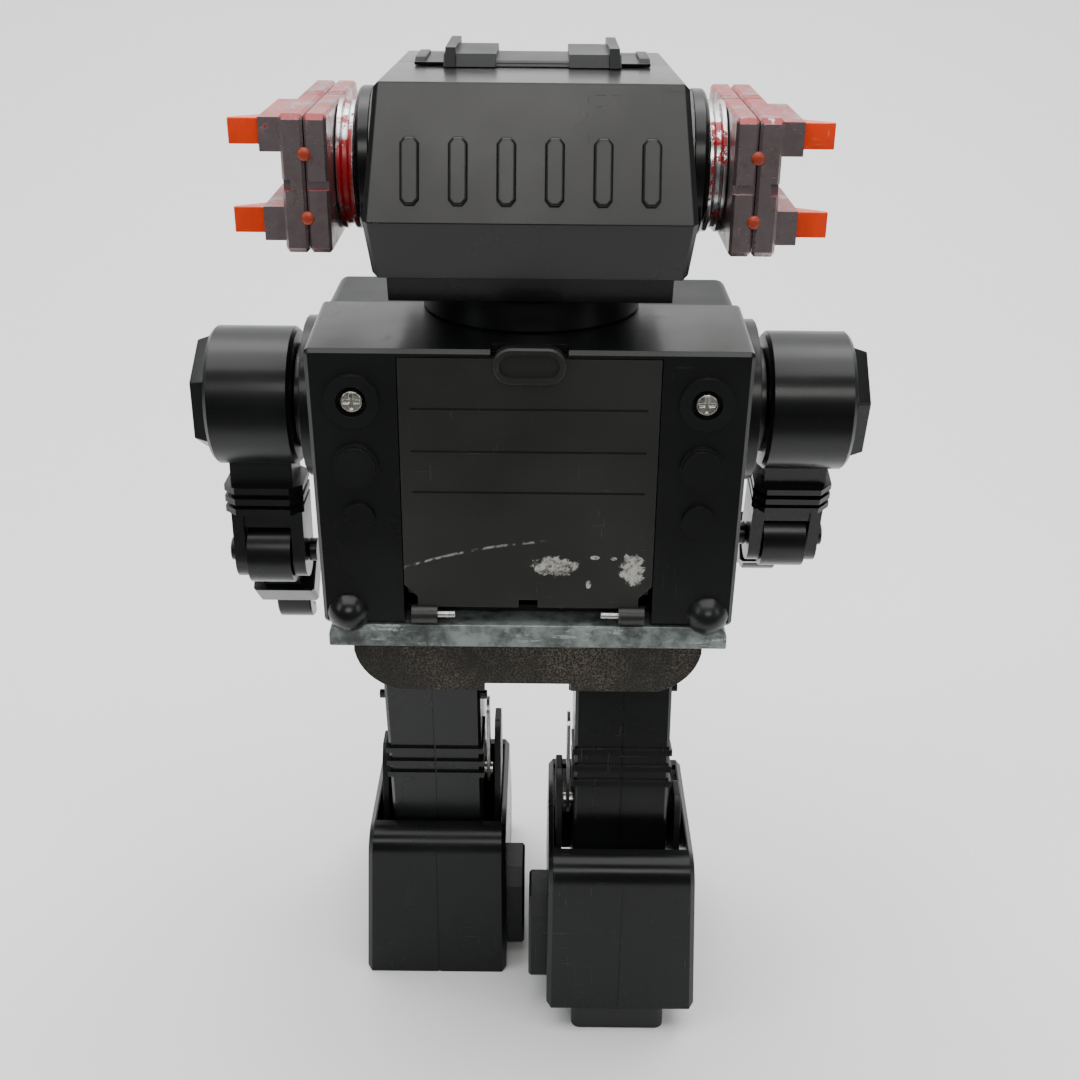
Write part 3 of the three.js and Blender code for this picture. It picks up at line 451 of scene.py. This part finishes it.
def link_plate(name, side):
    """A bright link with rounded ends beside the inner face of a leg, and the pin that it turns on."""
    hip_low, hip_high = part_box("hip_shaft")
    hip_y, hip_z = (hip_low[1] + hip_high[1]) / 2, (hip_low[2] + hip_high[2]) / 2
    lean = -side * LEG_LEAN

    def at(x, y, z):
        y, z = y * MM, z * MM
        turned_y = y * math.cos(lean) - z * math.sin(lean)
        turned_z = y * math.sin(lean) + z * math.cos(lean)
        return side * x, hip_y + turned_y, hip_z + turned_z

    def half_round(half, z, start):
        angles = (start + math.pi * i / 10 for i in range(11))
        return [(half * math.cos(t), z + half * math.sin(t)) for t in angles]

    def rounded(x, half, top, foot):
        ring = [at(x, y, z) for y, z in half_round(half, top, 0) + half_round(half, foot, math.pi)]
        return ring if side < 0 else ring[::-1]

    face, top, foot = LINK["face"] * MM, LINK["top"], LINK["foot"]
    pin_half, pin_foot = LINK_PIN["half"], foot - LINK_PIN["length"]
    plate = [rounded(x, LINK["half"], top, foot) for x in (face - LINK["thick"] * MM, face)]
    pin_ends = (face - LINK_PIN["inward"] * MM, face + LINK_PIN["outward"] * MM)
    pin = [rounded(x, pin_half, foot, pin_foot) for x in pin_ends]
    piece(f"link_plate_{name}", *swept(plate), "steel", "steel", f"leg_{name}")
    piece(f"link_pin_{name}", *swept(pin), "screw", "steel", f"leg_{name}")


def coil(name, x, y, z, side):
    """A short conical contact spring between a cell and its end plate."""
    across = Vector((1, 0, 0))
    wire_angles = [math.tau * k / 8 for k in range(8)]
    rings = []
    for i in range(SPRING["steps"] + 1):
        share = i / SPRING["steps"]
        angle = SPRING["turns"] * math.tau * share
        radius = (SPRING["wide"] - (SPRING["wide"] - SPRING["narrow"]) * share) * MM
        out = Vector((0, math.cos(angle), math.sin(angle)))
        centre = Vector((x - side * SPRING["length"] * MM * share, y, z)) + out * radius
        rings.append([
            tuple(centre + (out * math.cos(t) + across * math.sin(t)) * SPRING["wire"] * MM)
            for t in wire_angles
        ])
    made = piece(name, *swept(rings), "steel", "steel", "torso")
    made.data.shade_smooth()


for side_name, side_sign in (("left", 1), ("right", -1)):
    rivets(side_name, side_sign)
    link_plate(side_name, side_sign)
for cell_name, spring_side in (("cell_upper", -1), ("cell_lower", 1)):
    cell_low, cell_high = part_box(cell_name)
    plate_low, plate_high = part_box("contact_plate_left" if spring_side > 0 else "contact_plate_right")
    pad = plate_low[0] if spring_side > 0 else plate_high[0]
    coil(f"contact_spring_{cell_name}", pad - spring_side * SPRING["stand_off"] * MM,
         (cell_low[1] + cell_high[1]) / 2, (cell_low[2] + cell_high[2]) / 2, spring_side)


# ---------------------------------------------------------------- camera, lights, floor
def lamp(name, place, aim, size, watts, tint=(1, 1, 1)):
    data = bpy.data.lights.new(name, "AREA")
    data.shape = "RECTANGLE"
    data.size, data.size_y = size
    data.energy = watts
    data.color = tint
    made = bpy.data.objects.new(name, data)
    bpy.context.collection.objects.link(made)
    made.location = place
    made.rotation_euler = (Vector(aim) - Vector(place)).to_track_quat("-Z", "Y").to_euler()
    return made


def camera():
    """Stands behind the robot and looks down on its back."""
    right = Vector((-1, 0, 0))
    up = Vector((0, -math.sin(EYE_PITCH), math.cos(EYE_PITCH)))
    turned_right = right * math.cos(EYE_ROLL) + up * math.sin(EYE_ROLL)
    turned_up = up * math.cos(EYE_ROLL) - right * math.sin(EYE_ROLL)
    back = turned_right.cross(turned_up)
    data = bpy.data.cameras.new("camera")
    data.sensor_width = EYE_SENSOR
    data.lens = EYE_LENS
    made = bpy.data.objects.new("camera", data)
    bpy.context.collection.objects.link(made)
    axes = Matrix((turned_right, turned_up, back)).transposed().to_4x4()
    made.matrix_world = Matrix.Translation(EYE) @ axes
    bpy.context.scene.camera = made


def floor():
    """A pale table that sweeps up into the backdrop; towards the camera its colour is painted near black,
    painted shade for the dark room beyond the robot's back.
    """
    half_width, front, back, bend, steps = 3.0, 3.0, -0.26, 0.5, 24
    profile = [(front, 0.0), (0.6, 0.0)]
    for i in range(steps + 1):
        angle = math.pi / 2 * i / steps
        profile.append((back - bend * math.sin(angle), bend * (1 - math.cos(angle))))
    profile.append((back - bend, 3.0))
    verts = [(x, y, z) for y, z in profile for x in (-half_width, half_width)]
    faces = [(2 * i, 2 * i + 2, 2 * i + 3, 2 * i + 1) for i in range(len(profile) - 1)]
    mesh = bpy.data.meshes.new("floor")
    mesh.from_pydata(verts, [], faces)
    mesh.shade_smooth()
    made = bpy.data.objects.new("floor", mesh)
    bpy.context.collection.objects.link(made)
    s = Shader("pale_table")
    _, py, _ = s.xyz()
    cloud = s.noise(3.0, 2.0)
    pale = s.mix(cloud, (0.80, 0.81, 0.80), (0.84, 0.85, 0.84))
    # painted shade: from 0.13 m to 0.34 m towards the camera the table's colour darkens to near black,
    # standing in for the dark room that the robot's black faces reflect
    shaded = s.mix(s.ramp(py, 0.13, 0.34), pale, (0.09, 0.09, 0.09))
    mesh.materials.append(s.finish(Base_Color=shaded, Roughness=s.ramp(cloud, 0.3, 0.7, 0.5, 0.6)))


def world_light():
    world = bpy.data.worlds.new("world")
    world.use_nodes = True
    world.node_tree.nodes["Background"].inputs["Color"].default_value = (0.93, 0.96, 1.0, 1)
    world.node_tree.nodes["Background"].inputs["Strength"].default_value = 0.16
    bpy.context.scene.world = world


camera()
floor()
world_light()
lamp("ceiling", (0, -0.1, 1.5), (0, -0.05, 0.1), (1.8, 1.8), 40)
lamp("backdrop", (0, -0.35, 1.5), (0, -0.8, 0.5), (2.4, 0.6), 13)
lamp("room", (-0.1, 1.5, 1.15), (0, 0, 0.28), (1.1, 0.42), 9, (1.0, 0.99, 0.96))
lamp("window", (1.3, 0.7, 1.0), (0, 0, 0.2), (0.5, 0.8), 4, (0.95, 0.98, 1.0))
lamp("fill", (-1.3, 0.7, 0.8), (0, 0, 0.2), (0.4, 0.8), 3)
